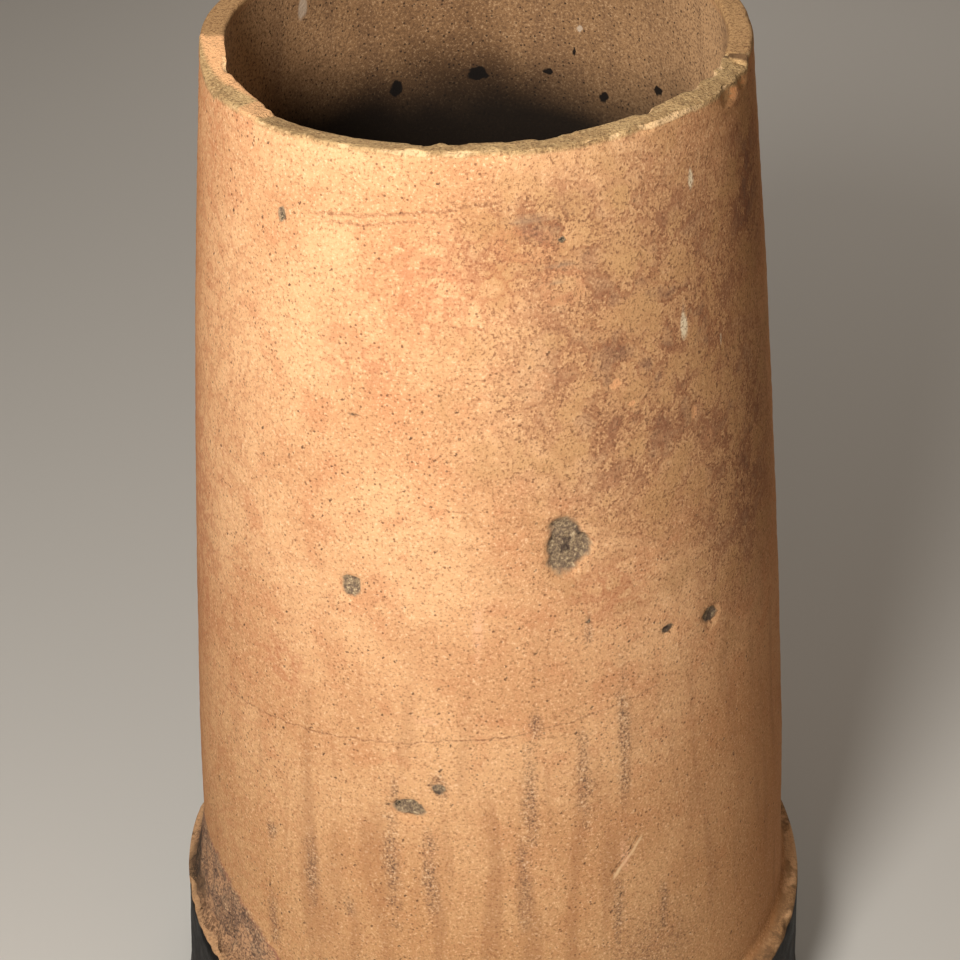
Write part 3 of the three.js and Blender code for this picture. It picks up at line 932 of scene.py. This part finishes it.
# %% Weathered terracotta
def weathered_terracotta():
    material = bpy.data.materials.new("weathered_terracotta")
    material.use_nodes = True
    tree = material.node_tree
    tree.nodes.clear()
    place = painted(tree, "upright", "Vector")
    wear = {name: painted(tree, name) for name in ("across", "top", "broken", "flaked", "mortar")}
    marks = {name: painted(tree, name) for name in MARKS}
    z, turn = split(place)[2], turn_from_front(place)
    grain = shared_noises(place)

    skin = clay_skin(place, grain, turn)
    skin = weather(skin, grain, marks, turn, z)
    skin, tarred = foot(skin, grain, turn, z, wear)
    skin, spall = breaks(skin, place, grain, marks, turn, wear)
    inside = fade(wear["across"], 0.06, 0.0) * (1 - wear["top"])
    skin = lay(skin, flue_wall(place, grain, marks, z), inside)

    rough = 0.9 - tarred * (1 - inside) * fade(grain["wobble"], 0.3, 0.7, 0.34, 0.18)
    rubble = most(spall, most(wear["broken"] * wear["top"], wear["mortar"]))
    relief = grain["fine"] * (rubble * 0.8 + 0.6)
    bump = node(tree, "ShaderNodeBump", {"Height": relief, "Distance": 1 * MM, "Strength": 0.7})
    look = {"Base Color": skin, "Roughness": rough, "Normal": result(bump), "Specular IOR Level": 0.2}
    clay = node(tree, "ShaderNodeBsdfPrincipled", look)
    plug(tree.nodes.new("ShaderNodeOutputMaterial").inputs["Surface"], result(clay))
    print(len(tree.nodes), "nodes in", material.name)
    return material


terracotta = weathered_terracotta()
pot = make_pot(terracotta)
triangles = sum(len(face.vertices) - 2 for face in pot.data.polygons)
print(f"{pot.name}: {triangles} triangles, {[round(v / MM, 1) for v in pot.dimensions]} mm")

# %% [markdown]
# The pot stands on a plain pale floor under a soft lamp, up on the left in front of it, with a weak fill
# from the right and another lamp behind. The camera looks down on it from above the rim, as someone would
# who stands over it.

# %% Floor, light and camera
FLOOR_HALF = 8
CAMERA_AT = (-0.00917, -0.9685, 1.0518)
CAMERA_DOWN = 34.33
LENS = 75
SENSOR = 36
ROOM_LIGHT = 0.12


def plain_floor():
    material = bpy.data.materials.new("pale_floor")
    material.use_nodes = True
    surface = material.node_tree.nodes["Principled BSDF"]
    surface.inputs["Base Color"].default_value = (0.66, 0.64, 0.61, 1)
    surface.inputs["Roughness"].default_value = 0.9
    mesh = bpy.data.meshes.new("floor")
    half = FLOOR_HALF
    corners = [(-half, -half, 0), (half, -half, 0), (half, half, 0), (-half, half, 0)]
    mesh.from_pydata(corners, [], [(0, 1, 2, 3)])
    mesh.materials.append(material)
    floor = bpy.data.objects.new("floor", mesh)
    bpy.context.scene.collection.objects.link(floor)
    return floor


def lamp(name, azimuth, elevation, distance, aim, size, watts, light_colour):
    """A round soft lamp that looks at the pot's axis at a height."""
    light = bpy.data.lights.new(name, "AREA")
    light.shape = "DISK"
    light.size = size
    light.energy = watts
    light.color = light_colour
    holder = bpy.data.objects.new(name, light)
    across, up = math.radians(azimuth), math.radians(elevation)
    direction = (math.cos(up) * math.cos(across), math.cos(up) * math.sin(across), math.sin(up))
    holder.location = [distance * part for part in direction]
    holder.location.z += aim
    holder.rotation_euler = (math.radians(90) - up, 0, across + math.radians(90))
    bpy.context.scene.collection.objects.link(holder)


def photo_camera():
    camera = bpy.data.objects.new("camera", bpy.data.cameras.new("camera"))
    camera.location = CAMERA_AT
    camera.rotation_euler = (math.radians(90 - CAMERA_DOWN), 0, 0)
    camera.data.lens = LENS
    camera.data.sensor_width = SENSOR
    bpy.context.scene.collection.objects.link(camera)
    bpy.context.scene.camera = camera


def soft_world(strength):
    world = bpy.data.worlds.new("soft_room")
    world.use_nodes = True
    world.node_tree.nodes["Background"].inputs["Color"].default_value = (1, 0.87, 0.72, 1)
    world.node_tree.nodes["Background"].inputs["Strength"].default_value = strength
    bpy.context.scene.world = world


floor = plain_floor()
lamp("key_light", 248, 34, 1.22, 0.49, 0.36, 18.6, (1, 0.97, 0.91))
lamp("fill_light", 320, 50, 3.2, 0.3, 2.4, 6, (1, 0.82, 0.62))
lamp("back_light", 80, 32, 2.4, 0.3, 1.4, 8, (1, 0.93, 0.86))
soft_world(ROOM_LIGHT)
photo_camera()
bpy.context.scene.view_settings.view_transform = "Standard"
print("camera at", [round(value, 3) for value in bpy.context.scene.camera.location])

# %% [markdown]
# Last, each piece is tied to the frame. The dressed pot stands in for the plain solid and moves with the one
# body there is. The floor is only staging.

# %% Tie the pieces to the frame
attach(pot, "root")
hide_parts("chimney_pot")
